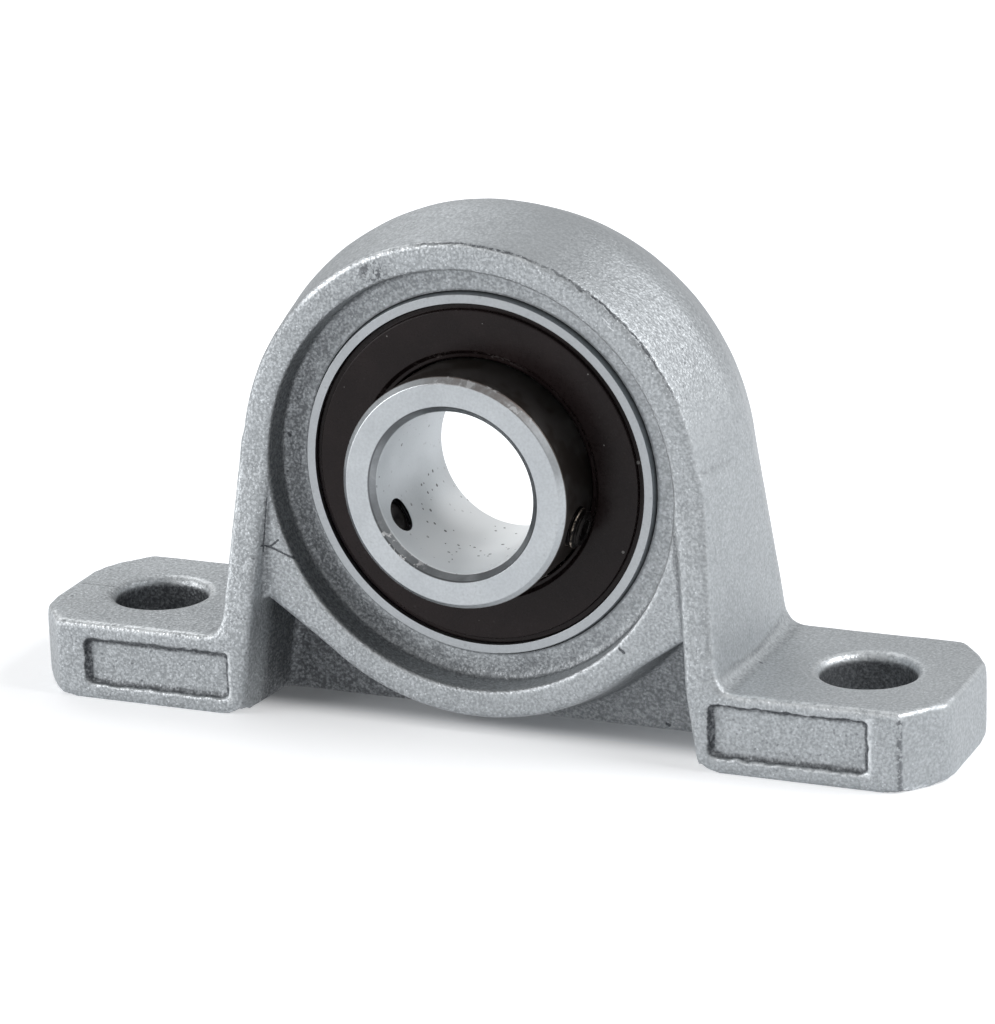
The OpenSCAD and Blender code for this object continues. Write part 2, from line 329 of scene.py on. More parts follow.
def cast_zinc():
    """Blasted zinc casting: grainy mid grey, bright where edges have rubbed and where highlights are
    painted on some edges, dark in torn spots, with painted shade in hollows and recesses.
    """
    material, place = new_material("cast_zinc", Metallic=0.8, IOR=1.6)
    grain = use_group(GRAIN, place, {"Grain": 4500.0, "Bright grains": 0.95, "Dark grains": 0.955})
    about = use_group(SHAFT_FRAME, place)
    worn_and_lit, torn, torn_line, painted_shade, coarse = (on_mesh(place.tree, name) for name in CASTING_MASKS)
    ragged = cloud(place, 2600.0, 2.0, 0.7)
    even = remap(grain["Shade"], 0.595, 0.995) * 1.3 - 0.65
    tone = even.do("MULTIPLY_ADD", coarse, 0.5, clamp=True)
    # Rubbed edges and nicks, and painted highlights on some edges, which the same mask carries.
    rub_and_glint = ease(worn_and_lit, 0.15, 0.75) * ease(ragged, 0.30, 0.58)
    for nick in NICKS:
        rub_and_glint = rub_and_glint.larger(scratch(place, nick))
    arris = about["Radius"] + about["Depth"] - (RING_FACE_R - RING_HALF + 0.48)
    arris = abs(cloud(place, 900.0, 3.0, 0.6) * 0.8 + arris)
    line = ease(arris, 0.19, 0.05) * remap(ragged, 0.38, 0.5, 0.25, 1.0)
    tear_and_crease_shadow = (torn * ease(ragged, 0.55, 0.47)).larger(line * torn_line)
    for mark in SCRATCHES:
        tear_and_crease_shadow = tear_and_crease_shadow.larger(scratch(place, mark))
    flat = place.vector("MULTIPLY", (1, 0, 1))[0]
    in_front = about["Depth"] < -5.7
    # The last of these dark lines is a painted shadow along the crease by the left leg.
    for dark_line in CRACKS_AND_CREASE_SHADOW:
        tear_and_crease_shadow = tear_and_crease_shadow.larger(scratch(flat, dark_line) * in_front)
    # Painted shade in hollows, holes, pockets and recesses, and a thin dark line round the seat's edge.
    painted_shade_coat = painted_shade * remap(grain["Shade"], 0.6, 1.05, 0.95, 0.6)
    seat_edge = remap(about["Radius"], 13.78, 13.68) * remap(abs(about["Depth"]), 3.4, 3.46)
    base = coated(mix_colour(tone, ZINC_DARK, ZINC_LIGHT),
                  (remap(cloud(place, 300.0, 2.0), 0.4, 0.7, 0.0, 0.07), (0.70, 0.735, 0.76)),
                  (grain["Bright"] * (coarse * 0.58), (0.88, 0.92, 0.95)),
                  (grain["Dark"] * (coarse * 0.52), (0.16, 0.17, 0.185)),
                  (rub_and_glint * 0.75, (0.80, 0.83, 0.85)),
                  (tear_and_crease_shadow * 0.82, (0.055, 0.06, 0.07)),
                  (painted_shade_coat.larger(seat_edge * 0.45), (0.05, 0.054, 0.062)))
    rough = remap(grain["Shade"], 0.6, 1.0, 0.62, 0.5) - rub_and_glint * 0.14
    height = grain["Height"] * remap(coarse, 0, 1, 0.15, 1.0) - tear_and_crease_shadow
    return dress(material, base, rough, height, 0.75, 0.00005)


def ground_steel(name, base_dark, base_light, bore_marks):
    """Ground bearing steel: satin, with faint rings and a few specks, and painted light and shade: turned
    chamfers painted darker, a lighter bore with a bright swath, a dark outside on the inner ring, glints,
    and a dark side on the outer ring.
    """
    material, place = new_material(name, Metallic=1.0)
    about = use_group(SHAFT_FRAME, place)
    radius, turn, depth = about["Radius"], about["Turn"], about["Depth"]
    lines = use_group(LINES, place, {"Lines per millimetre": 11.0})
    smear = lines["Smear"]
    specks = use_group(SPECKS, place, {"Spacing": 3000.0, "Size": 0.40, "Kept above": 0.80})[0]
    fine = cloud(place, 5200.0, 2.0)
    base = coated(mix_colour(remap(smear, 0.3, 0.7), base_dark, base_light),
                  (remap(fine, 0.35, 0.65, 0.0, 0.24), (0.29, 0.30, 0.31)))
    rough = remap(smear, 0.3, 0.7, 0.29, 0.41)
    if bore_marks:
        # Painted light: the bore is painted lighter than the faces.
        in_bore = remap(radius, BORE_R + 0.05, BORE_R + 0.02)
        end = BORE_R + BORE_CHAMFER
        # Painted shade: the bore chamfer darker, with a darker line at its outer edge.
        chamfer = remap(radius, BORE_R + 0.03, BORE_R + 0.08) * remap(radius, end, end - 0.06)
        chamfer = chamfer * remap(smear, 0.38, 0.66, 0.85, 0.5)
        chamfer = chamfer.larger(remap(abs(radius - (end - 0.06)), 0.09, 0.03, 0.0, 0.9))
        # Painted highlight: a bright swath along the lower side of the bore.
        swept = in_bore * ease(abs(turn + 0.22), 0.24, 0.08, 0.0, 0.95)
        # Painted reflection: the inner ring's outside dark brown, as the black seal beside it makes it
        # look in reflection.
        barrel_shade = remap(radius, LAND_R - 0.07, LAND_R - 0.03) * ease(smear, 0.46, 0.56, 0.98, 0.9)
        chips = cloud(place, 1500.0, 3.0, 0.65)
        edge_wear = remap(radius, LAND_R - 0.5, LAND_R - 0.42) * ease(abs(turn - 0.2), 0.11, 0.05)
        edge_wear = edge_wear * remap(depth, -INNER_FRONT + 0.6, -INNER_FRONT + 0.45)
        edge_wear = edge_wear * remap(chips, 0.36, 0.62, 0.25, 0.7)
        # Painted highlights: bright glints on the bore chamfer's lower left and among the brown wear of
        # the front chamfer.
        low_left = ease(abs(turn + 0.37), 0.07, 0.02) * chamfer
        glints = edge_wear.larger(low_left * 1.1) * ease(chips, 0.47, 0.39, 0.0, 1.3)
        base = coated(base, (chamfer, (0.10, 0.105, 0.112)), (in_bore * 0.6, (0.66, 0.69, 0.71)),
                      (swept, (0.94, 0.96, 0.97)), (barrel_shade, (0.062, 0.050, 0.044)),
                      (edge_wear, (0.22, 0.185, 0.17)), (glints, (0.86, 0.86, 0.87)))
        marks = specks * remap(in_bore, 0, 1, 0.12, 0.85) * remap(smear, 0.44, 0.52, 0.25, 1.0)
        rough = rough + barrel_shade * 0.16 + in_bore * 0.22
    else:
        # Painted shade: the outer ring's spherical side just outside its face, darker towards the middle
        # of the ring's width.
        side = remap(radius, OUTER_FACE_R, OUTER_FACE_R + 0.05)
        base = coated(base, (side * remap(abs(depth), 3.9, 3.6, 0.05, 0.5), (0.07, 0.07, 0.075)))
        marks = specks * 0.2
    base = coated(base, (marks, (0.13, 0.13, 0.135)))
    return dress(material, base, rough, fine * 0.5 + lines["Height"], 0.22, 0.00001)


def seal_rubber():
    """Moulded brown-black rubber with a satin skin, faint mottling, a few light dust specks, and light
    dust with a painted glint along the upper left of the lip.
    """
    material, place = new_material("seal_rubber", Metallic=0.0, IOR=1.45, Specular_IOR_Level=0.23)
    about = use_group(SHAFT_FRAME, place)
    dust = use_group(SPECKS, place, {"Spacing": 900.0, "Size": 0.13, "Kept above": 0.66})[0]
    lint = use_group(SPECKS, place, {"Spacing": 2100.0, "Size": 0.2, "Kept above": 0.9})[0]
    mottle = cloud(place, 420.0, 4.0, 0.65)
    skin = cloud(place, 3600.0, 3.0)
    # Light dust on the lip's step, with a painted glint, strongest at its upper left.
    lip_dust_and_glint = remap(abs(about["Radius"] - (LIP_R + 0.38)), 0.22, 0.08) * remap(skin, 0.47, 0.56)
    lip_dust_and_glint = lip_dust_and_glint * remap(mottle, 0.46, 0.56)
    lip_dust_and_glint = lip_dust_and_glint * remap(abs(about["Turn"] - 0.33), 0.16, 0.08, 0.15, 1.0)
    base = coated(mix_colour(remap(mottle, 0.35, 0.7), (0.0150, 0.0098, 0.0100), (0.023, 0.0155, 0.0156)),
                  (lint * 0.25, (0.09, 0.085, 0.082)), (lip_dust_and_glint * 0.5, (0.30, 0.27, 0.265)),
                  (dust * 0.7, (0.42, 0.41, 0.40)))
    return dress(material, base, remap(skin, 0.3, 0.7, 0.24, 0.34), mottle * 2.0 + skin, 0.25, 0.000012)


def black_oxide():
    """Black oxide on a set screw, rubbed bright on its thread crests and chamfers, partly a painted glint.
    """
    material, place = new_material("black_oxide", Metallic=0.9)
    patch = cloud(place, 2600.0, 3.0, 0.65)
    base = mix_colour(remap(patch, 0.3, 0.7), (0.010, 0.009, 0.009), (0.026, 0.023, 0.022))
    # Rubbed crests, partly a painted glint.
    rub_and_glint = on_mesh(place.tree, "wear_and_highlight") * ease(patch, 0.45, 0.58)
    base = mix_colour(rub_and_glint, base, (0.42, 0.36, 0.30))
    return dress(material, base, remap(patch, 0.3, 0.7, 0.34, 0.5), patch, 0.3, 0.00001)


def pressed_sheet():
    """Bright rolled sheet of the cage and the seals' washers, with rolling streaks along X."""
    material, place = new_material("pressed_sheet", Metallic=1.0)
    rolled = cloud(place.vector("MULTIPLY", (400.0, 9000.0, 9000.0))[0], 1.0, 3.0)
    oil = remap(cloud(place, 350.0, 3.0), 0.5, 0.75, 0.0, 0.4)
    base = mix_colour(remap(rolled, 0.35, 0.65), (0.52, 0.51, 0.48), (0.70, 0.69, 0.67))
    base = mix_colour(oil, base, (0.38, 0.33, 0.25))
    return dress(material, base, remap(rolled, 0.3, 0.7, 0.22, 0.36), rolled, 0.2, 0.00001)


def lapped_ball():
    """Lapped and oiled ball steel: mirror bright with a few hair lines."""
    material, place = new_material("lapped_ball", Metallic=1.0)
    film = cloud(place, 500.0, 3.0)
    hair = put(place.tree, "ShaderNodeTexWave",
               {"Vector": place, "Scale": 900.0, "Distortion": 14.0, "Detail": 2.0})[1]
    base = mix_colour(remap(film, 0.4, 0.7), (0.82, 0.82, 0.83), (0.70, 0.67, 0.60))
    return dress(material, base, remap(film, 0.3, 0.7, 0.06, 0.16), hair, 0.05, 0.000004)


# Mesh helpers

def link(data, name):
    """A new object for a mesh, a lamp or a camera, at the origin."""
    obj = bpy.data.objects.new(name, data)
    bpy.context.scene.collection.objects.link(obj)
    return obj


def give(mesh, material):
    mesh.materials.clear()
    mesh.materials.append(material)


def baked(obj, name):
    """A plain mesh from an object's modifiers, which takes the object's place."""
    graph = bpy.context.evaluated_depsgraph_get()
    mesh = bpy.data.meshes.new_from_object(obj.evaluated_get(graph))
    old = obj.data
    bpy.data.objects.remove(obj)
    if old.users == 0:
        bpy.data.meshes.remove(old)
    mesh.name = name
    return mesh


def baked_nodes(obj, tree, name, values):
    """The mesh that a geometry node group makes of an object, with the group's inputs by name."""
    modifier = obj.modifiers.new("nodes", "NODES")
    modifier.node_group = tree
    keys = {item.name: item.identifier for item in tree.interface.items_tree}
    for label, value in values.items():
        modifier[keys[label]] = value
    return baked(obj, name)


def coat(tree, geometry, given, out):
    """Makes what a geometry node group built real, gives it the finish and hands it out."""
    real = put(tree, "GeometryNodeRealizeInstances", {0: geometry})
    coated = put(tree, "GeometryNodeSetMaterial", {"Geometry": real[0], "Material": given["Finish"]})
    fill(out, {0: coated[0]})
    return tree


def smoothed(mesh, name, sharp):
    """An object of a mesh that is shaded smooth, apart from edges above an angle in degrees."""
    mesh.shade_smooth()
    mesh.set_sharp_from_angle(angle=math.radians(sharp))
    return link(mesh, name)


def rows_of(items, name, width, kind=np.float32):
    """A value of every vertex, edge or face corner, as the rows of an array."""
    out = np.empty(len(items) * width, kind)
    items.foreach_get(name, out)
    return out.reshape(-1, width)


def points_of(mesh):
    return rows_of(mesh.vertices, "co", 3).astype(float)


def normals_of(mesh):
    return rows_of(mesh.vertex_normals, "vector", 3).astype(float)


def set_points(mesh, co):
    mesh.vertices.foreach_set("co", co.astype(np.float32).ravel())
    mesh.update()


def means_around(mesh):
    """A function that gives the mean of each vertex's neighbours, for a column or more of values."""
    a, b = rows_of(mesh.edges, "vertices", 2, np.int32).T
    count = len(mesh.vertices)
    degree = np.bincount(np.append(a, b), minlength=count)

    def mean(values):
        sums = [np.bincount(a, column[b], count) + np.bincount(b, column[a], count)
                for column in values.T]
        return np.stack(sums, 1) / degree[:, None]

    return mean


def step(value, low, high):
    t = np.clip((value - low) / (high - low), 0, 1)
    return t * t * (3 - 2 * t)


def wobble(co, scale, seed, octaves=2):
    """Smooth noise from -1 to 1 at points in millimetres, with features of about 1/scale."""
    shift = Vector((seed * 17.3, seed * 5.1, seed * 9.7))
    return np.array([noise.fractal(Vector(p) * scale + shift, 0.6, 2.0, octaves) for p in co])


def outwards(mesh):
    """Merges doubles and turns every face outwards."""
    work = bmesh.new()
    work.from_mesh(mesh)
    bmesh.ops.remove_doubles(work, verts=work.verts, dist=1e-7)
    bmesh.ops.recalc_face_normals(work, faces=work.faces)
    work.to_mesh(mesh)
    work.free()
    mesh.update()


def circle(radius, height, segments, six=False):
    """Points of a level circle about Z, or of a hexagon round it, or one point if the radius is 0."""
    if radius <= 0:
        return [(0, 0, height)]
    out = []
    for k in range(segments):
        a = 2 * math.pi * k / segments
        r = radius
        if six:
            r = radius / math.cos((a + math.pi / 6) % (math.pi / 3) - math.pi / 6)
        out.append((r * math.cos(a), r * math.sin(a), height))
    return out


def solid(name, loops):
    """A closed solid from loops of points in millimetres, each joined to the next one."""
    work = bmesh.new()
    made = [[work.verts.new([c * MM for c in p]) for p in loop] for loop in loops]
    segments = max(len(loop) for loop in made)
    for low, high in zip(made, made[1:]):
        for k in range(segments):
            n = (k + 1) % segments
            corner = [low[k % len(low)], low[n % len(low)], high[n % len(high)], high[k % len(high)]]
            corner = list(dict.fromkeys(corner))
            if len(corner) > 2:
                work.faces.new(corner)
    for end in (made[0], made[-1]):
        if len(end) > 2:
            work.faces.new(end)
    bmesh.ops.recalc_face_normals(work, faces=work.faces)
    mesh = bpy.data.meshes.new(name)
    work.to_mesh(mesh)
    work.free()
    return mesh


def onto_shaft():
    """From an upright axis at the origin to the shaft's axis, with the front side at -Y."""
    return Matrix.Translation((0, 0, SHAFT_H * MM)) @ Matrix.Rotation(math.pi / 2, 4, "X")


# Casting

def soften(mesh, mean, keep_crisp, round_more):
    """Rounds the casting: inner corners fill in as fillets and outer corners are taken off.

    Each vertex has from 0 to 1 how much it is left alone, and how much more it is rounded.
    Returns how sharp an outer edge, and how deep an inner one, each vertex stood on."""
    co = points_of(mesh)
    free = 1.0 - keep_crisp
    first, last, more = 3, 28, 30
    for turn in range(last + more):
        if turn % 4 == 0:
            set_points(mesh, co)
            normal = normals_of(mesh)
        pull = mean(co) - co
        rise = np.einsum("ij,ij->i", pull, normal)
        if turn == first:
            sharp = np.clip(-rise / (0.008 * MM), 0, 1)
            hollow = np.clip(rise / (0.008 * MM), 0, 1)
        if turn < first:
            amount = 0.5 * (1 - 0.8 * keep_crisp)
        elif turn < last:
            amount = free * (0.34 + 0.24 * step(rise, 0.0, 0.002 * MM))
        else:
            amount = 0.5 * round_more
        co += pull * amount[:, None]
    set_points(mesh, co)
    return sharp, hollow


def near(value, centre, reach):
    """1 at the centre, falling smoothly to 0 at the reach."""
    return 1 - step(abs(value - centre), 0.4 * reach, reach)


def between(value, low, high, blend):
    """1 between two limits, falling smoothly to 0 outside them."""
    return step(value, low - blend, low) * (1 - step(value, high, high + blend))


def panel_place(x, z):
    """How far a point of the foot's front lies outside (above 0) or inside a sunk panel."""
    top = np.where(x > 0, PANEL_TOPS[1], PANEL_TOPS[-1])
    across = np.maximum(PANEL_START - abs(x), abs(x) - PANEL_START - PANEL_LEN)
    return np.maximum(across, np.maximum(PANEL_LOW - z, z - top))


def about_shaft(co):
    """Radius from the shaft's axis, and angle about it in degrees from the right."""
    x, z = co[:, 0], co[:, 2] - SHAFT_H
    return np.hypot(x, z), np.degrees(np.arctan2(z, x))


def bevel_holes(co):
    """Bevels the upper edge of the bolt holes, a little unevenly."""
    x, y, z = co.T
    away = np.hypot(abs(x) - BOLT_X, y)
    rim = np.nonzero((away < BOLT_R + 0.7) & (z > FOOT_T - 0.8))[0]
    cut = HOLE_BEVEL + 0.05 * wobble(co[rim], 1.3, 11)
    over = np.maximum(0, (z[rim] - FOOT_T + cut) - (away[rim] - BOLT_R)) / 2
    out = over / away[rim]
    co[rim, 0] += (x[rim] - np.sign(x[rim]) * BOLT_X) * out
    co[rim, 1] += y[rim] * out
    co[rim, 2] -= over


def true_seat(co):
    """Brings the seat back to a true sphere, the shelves beside it to planes, and the base to one."""
    x, y, z = co.T
    edge_r = math.sqrt(SEAT_R ** 2 - SEAT_HALF ** 2)
    radius = about_shaft(co)[0]
    true_r = np.hypot(radius, y)
    seat = (abs(y) < SEAT_HALF + 0.02) & (true_r < SEAT_R + 0.15)
    shelf = (abs(abs(y) - SEAT_HALF) < 0.1) & (radius > edge_r - 0.1) & (radius < RECESS_R - 0.5)
    corner = (abs(abs(y) - SEAT_HALF) < 0.13) & (abs(radius - edge_r) < 0.13)
    scale = np.where(seat, SEAT_R / true_r, 1.0)
    scale = np.where(corner, edge_r / radius, scale)
    co[:, 0] *= scale
    co[:, 2] = SHAFT_H + (co[:, 2] - SHAFT_H) * scale
    co[:, 1] = np.where(seat & ~corner, y * scale, co[:, 1])
    flat = shelf | corner
    co[flat, 1] = np.sign(co[flat, 1]) * SEAT_HALF
    co[co[:, 2] < 0.06, 2] = 0.0


def wear_of_casting(co, normal, sharp, wide, hollow):
    """Where edges have rubbed bright or carry painted highlights, where they are torn and dark, and where
    shade is painted: in hollows, bolt holes, panel walls, pockets under the ring, on the shelf, in the
    recess and on the top of the arch.
    """
    x, y, z = co.T
    radius, angle = about_shaft(co)
    front = 1 - step(y, -5.6, -5.2)
    foot = step(abs(x), 19.4, 20.2) * step(z, 4.9, 5.5) * (z < FOOT_T + 0.3)
    arch = near(radius, RING_FACE_R, 0.7) * front * (z > 12)
    arris = radius - RING_FACE_R + y + RING_HALF
    torn_line = near(arris, 0.1, 0.9) * (z > 12) * between(angle, 27, 99, 5)
    torn_line *= 0.65 + 0.35 * np.maximum(between(angle, 76, 97, 6), between(angle, 36, 56, 6))
    legs = step(abs(x), 17.4, 18.0) * (1 - step(abs(x), 19.6, 20.4)) * front * (z < 19)
    rim = near(radius, RECESS_R, 0.6) * front
    edge = panel_place(x, z)
    from_hole = np.hypot(abs(x) - BOLT_X, y)
    region = np.maximum.reduce([
        np.full(len(co), 0.10),
        foot * np.where(y < -6, 0.9, 0.35),
        arch * between(angle, 96, 132, 6) * 0.9,
        arch * between(angle, 70, 98, 5) * (arris < 0.05) * 0.6,
        arch * between(angle, 8, 46, 4) * 0.28,
        legs * np.where(x > 0, 0.3, 0.5),
        rim * between(angle, -150, -30, 25) * 0.45,
        rim * between(angle, -30, 60, 10) * 0.3,
        near(edge, 0.0, 0.5) * (y < -7.0) * np.where(normal[:, 0] < -0.3, 1.0, 0.5),
        near(np.hypot(abs(x) - 33.7, y + 7.0), 0, 1.5) * 0.9])
    corner = near(x, FOOT_HALF - 2.7, 0.22) * (y < -7.3) * (z < 5.6)
    foot_front = foot * (y < -6) * (abs(x) < FOOT_HALF - 2.4) * (abs(x) > 21)
    right_of_panel = x > np.where(x > 0, PANEL_START + PANEL_LEN, -PANEL_START) - 0.1
    low_of_panel = (z < PANEL_LOW + 0.05) & (normal[:, 2] > 0.2)
    bearing = np.degrees(np.arctan2(y, x - np.sign(x) * BOLT_X))
    lit = np.where(x > 0, between(bearing, 75, 165, 20), between(bearing, 15, 100, 20))
    # Rubbed edges, partly painted highlights: the panels' right and lower edges, and the lit side of each
    # bolt hole's rim.
    worn_and_lit = np.maximum.reduce([
        sharp * region * (1 - corner),
        wide * foot_front * np.where(x > 0, 0.46, 0.6),
        near(edge, 0.14, 0.26) * (y < -7.45) * np.maximum(right_of_panel * 0.7, low_of_panel * 0.6),
        near(from_hole, BOLT_R + 0.3, 0.5) * step(z, 5.1, 5.5) * lit * 0.6])
    stain = near(np.hypot((x + 6.7) / 1.5, z - 34.1), 0, 1.0) * front
    torn = np.clip(0.85 * stain + 0.7 * corner, 0, 1)
    wall = (y < -7.2) & (edge < 0.3) & (edge > -0.35)
    at_seat = (radius < 15.1) & (abs(y) < 4.2)
    up_facing = step(normal[:, 2], 0.25, 0.6)
    pocket = between(z, 0.3, 9.5, 3.0) * (abs(x) < 18.2) * step(radius, 17.75, 18.1)
    pocket *= 1 - step(abs(y), 4.2, 5.9)
    shelf = between(radius, 13.8, 15.3, 0.1) * (abs(abs(y) - SEAT_HALF) < 0.15)
    shelf_shade = 0.12 + 0.42 * near(angle, 180, 60) + 0.46 * near(angle, -180, 75) + 0.32 * near(angle, -95, 70)
    shelf_shade *= 1 - 0.8 * near(angle, -10, 60)
    high = step(z, 25, 30) * (radius > RECESS_R + 0.2) * (1 + 0.4 * between(angle, 20, 70, 15))
    high *= np.maximum(1 - step(-normal[:, 1], 0.5, 0.9), step(angle, 100, 115))
    recess = near(radius, RECESS_R, 0.5) * between(y, -5.6, -3.6, 0.3) * (abs(angle) > 90)
    recess *= np.maximum(near(angle, 180, 60), near(angle, -180, 90))
    # Painted shade: darker in hollows, inside the bolt holes, on the panels' walls, in the pockets under
    # the ring, on the shelf most to the left and below, in the left of the recess, and a little on the top
    # of the arch.
    painted_shade = np.maximum.reduce([
        hollow * np.where(wall, 1.0 - 0.25 * up_facing, 0.5) * ~at_seat,
        (from_hole < BOLT_R + 0.15) * (1 - step(z, 5.2, 5.6)) * np.where(x < 0, 0.95, 0.85),
        wall * step(normal[:, 0], 0.25, 0.6) * 0.95,
        wall * step(-normal[:, 2], 0.25, 0.6) * 0.8,
        pocket * np.where(x < 0, 0.8, 0.5),
        shelf * np.minimum(shelf_shade, 0.62),
        high * 0.12,
        recess * 0.6])
    return worn_and_lit, torn, torn_line, painted_shade


def coarseness_of_casting(co, normal):
    """How coarse the skin is: most on the front faces and to the left, least on the right side."""
    x, y, z = co.T
    facing = step(-normal[:, 1], 0.5, 0.9)
    left = 1 - step(x, -12, 12)
    foot_top = step(normal[:, 2], 0.5, 0.9) * (z < FOOT_T + 1)
    radius, angle = about_shaft(co)
    lit_arch = between(angle, 28, 62, 14) * between(y, -6.5, 0.0, 3.0) * (radius > 17)
    crown = step(normal[:, 2], 0.55, 0.9) * (z > 25)
    return np.clip(0.46 + 0.28 * facing + 0.32 * left + 0.2 * foot_top + 0.4 * lit_arch - 0.2 * crown,
                   0, 1.2)


def cast_housing(material):
    """The casting: the source solid, with soft corners, ragged panel edges and uneven skin."""
    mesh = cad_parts["housing"].data.copy()
    outwards(mesh)
    block = link(mesh, "casting_blank")
    skin = block.modifiers.new("skin", "REMESH")
    skin.mode = "VOXEL"
    skin.voxel_size = 0.16 * MM
    mesh = baked(block, "housing_casting")

    co = points_of(mesh) / MM
    bevel_holes(co)
    set_points(mesh, co * MM)
    x, y, z = co.T
    radius = about_shaft(co)[0]
    crisp = np.maximum.reduce([
        0.75 * (y < -7.2) * (panel_place(x, z) < 0.45),
        0.95 * (radius < 14.4) * (radius > 13.2) * (abs(y) < 3.9),
        0.5 * near(radius, RECESS_R, 0.5) * near(abs(y), RING_HALF, 0.5),
        0.5 * near(abs(x), FOOT_HALF - 2.7, 0.5) * near(y, -8.0, 0.5)])
    ends = near(np.hypot(abs(x) - FOOT_HALF, abs(y) - 4.5), 0, 1.6)
    ends = np.maximum(ends, near(np.hypot(abs(x) - FOOT_HALF + 2.7, z), 0, 1.3) * (abs(y) > 7))
    mean = means_around(mesh)
    sharp, hollow = soften(mesh, mean, crisp, ends)
    wide = sharp[:, None]
    for _ in range(5):
        wide = mean(wide)
    wide = np.clip(2.4 * wide[:, 0], 0, 1)

    co = points_of(mesh) / MM
    normal = normals_of(mesh)
    x, y, z = co.T
    true_r = np.hypot(about_shaft(co)[0], y)
    fitted = ((abs(y) < SEAT_HALF + 0.4) & (true_r < 14.8)) | (z < 0.06)
    fitted |= np.hypot(abs(x) - BOLT_X, y) < BOLT_R + 0.08
    wall = (y < -7.3) & (abs(panel_place(x, z)) < 0.35)
    shake = np.zeros((len(co), 3))
    for k, seed in ((0, 1), (2, 3)):
        shake[wall, k] = 0.10 * wobble(co[wall], 0.9, seed) + 0.06 * wobble(co[wall], 2.5, seed + 1)
    uneven = np.zeros(len(co))
    uneven[~fitted] = 0.02 * wobble(co[~fitted], 0.35, 5)
    co += shake + normal * uneven[:, None]
    true_seat(co)
    set_points(mesh, co * MM)
    wear = wear_of_casting(co, normal, sharp, wide, hollow)
    for name, values in zip(CASTING_MASKS, (*wear, coarseness_of_casting(co, normal))):
        layer = mesh.attributes.new(name, "FLOAT", "POINT")
        layer.data.foreach_set("value", values.astype(np.float32))
    if len(mesh.polygons) * 2 > CASTING_FACES:
        block = link(mesh, "casting_thick")
        thin = block.modifiers.new("thin", "DECIMATE")
        thin.ratio = CASTING_FACES / (len(mesh.polygons) * 2)
        mesh = baked(block, "housing_casting")
    give(mesh, material)
    return smoothed(mesh, "housing_casting", 40)


# Turned rings

def rounded_section(corners, steps=4, lead=0.03):
    """A closed section in millimetres from (radius, front, rounding) corners.

    Each rounded corner becomes an arc, with one point more a little way along each side, which
    keeps the long flat sides flat in shading."""
    out = []
    count = len(corners)
    for k, (r, f, rounding) in enumerate(corners):
        here = Vector((r, f))
        before = Vector(corners[k - 1][:2]) - here
        after = Vector(corners[(k + 1) % count][:2]) - here
        if rounding <= 0:
            out.append(tuple(here))
            continue
        a, b = before.normalized(), after.normalized()
        half = a.angle(b) / 2
        reach = min(rounding / math.tan(half), 0.45 * before.length, 0.45 * after.length)
        true = reach * math.tan(half)
        centre = here + (a + b).normalized() * (true / math.sin(half))
        start, end = here + a * reach, here + b * reach
        if before.length - reach > 3 * lead:
            out.append(tuple(start + a * lead))
        first, last = start - centre, end - centre
        sweep = first.angle_signed(last)
        for part in range(steps + 1):
            turn = Matrix.Rotation(-sweep * part / steps, 2)
            out.append(tuple(centre + turn @ first))
        if after.length - reach > 3 * lead:
            out.append(tuple(end + b * lead))
    return out


def arc(centre_r, centre_f, radius, start, end, steps):
    """Points of an arc in the section, between two angles in degrees, each with no rounding."""
    out = []
    for k in range(steps + 1):
        a = math.radians(start + (end - start) * k / steps)
        out.append((centre_r + radius * math.cos(a), centre_f + radius * math.sin(a), 0.0))
    return out


def turned_ring_tree():
    """Sweeps a closed section round a circle: the section's X is the distance from the circle."""
    tree, given, out = new_group(
        "Turned ring", {"Geometry": ["Section"], "Float": ["Sweep radius"], "Int": ["Segments"],
                        "Material": ["Finish"]}, {"Geometry": ["Ring"]}, "Geometry")
    section = put(tree, "GeometryNodeMeshToCurve", {0: given["Section"]})
    path = put(tree, "GeometryNodeCurvePrimitiveCircle",
               {"Radius": given["Sweep radius"], "Resolution": given["Segments"]})
    swept = put(tree, "GeometryNodeCurveToMesh", {"Curve": path[0], "Profile Curve": section[0]})
    return coat(tree, swept[0], given, out)


def turned_ring(name, section, material):
    """A ring about the shaft from a section of (radius, front) points in millimetres."""
    sweep = 10.0
    mesh = bpy.data.meshes.new(name)
    mesh.from_pydata([((r - sweep) * MM, -f * MM, 0) for r, f in section],
                     [(k, (k + 1) % len(section)) for k in range(len(section))], [])
    mesh = baked_nodes(link(mesh, name + "_section"), TURNED_RING, name,
                       {"Sweep radius": sweep * MM, "Segments": 256,
                        "Finish": material})
    outwards(mesh)
    mesh.transform(onto_shaft())
    mesh.shade_smooth()
    return link(mesh, name)


def outer_ring_section():
    """Outer ring: spherical outside, raceway, and a stepped pocket for each seal."""
    groove_c = PITCH_R + BALL_R + RACE_FIT - GROOVE_R
    open_angle = math.degrees(math.acos((OUTER_LAND_R - groove_c) / GROOVE_R))
    sphere_angle = math.degrees(math.asin(OUTER_HALF / INSERT_R))
    pocket = OUTER_HALF - 1.0
    corners = [(SEAL_POCKET_R, OUTER_HALF, 0.03), (SEAL_POCKET_R, pocket, 0.04),
               (OUTER_LAND_R, pocket, 0.08)]
    corners += arc(groove_c, 0, GROOVE_R, open_angle, -open_angle, 24)
    corners += [(OUTER_LAND_R, -pocket, 0.08), (SEAL_POCKET_R, -pocket, 0.04),
                (SEAL_POCKET_R, -OUTER_HALF, 0.03), (OUTER_FACE_R, -OUTER_HALF, 0.05)]
    corners += arc(0, 0, INSERT_R, -sphere_angle + 0.45, sphere_angle - 0.45, 28)
    corners += [(OUTER_FACE_R, OUTER_HALF, 0.05)]
    return rounded_section(corners, lead=0.02)


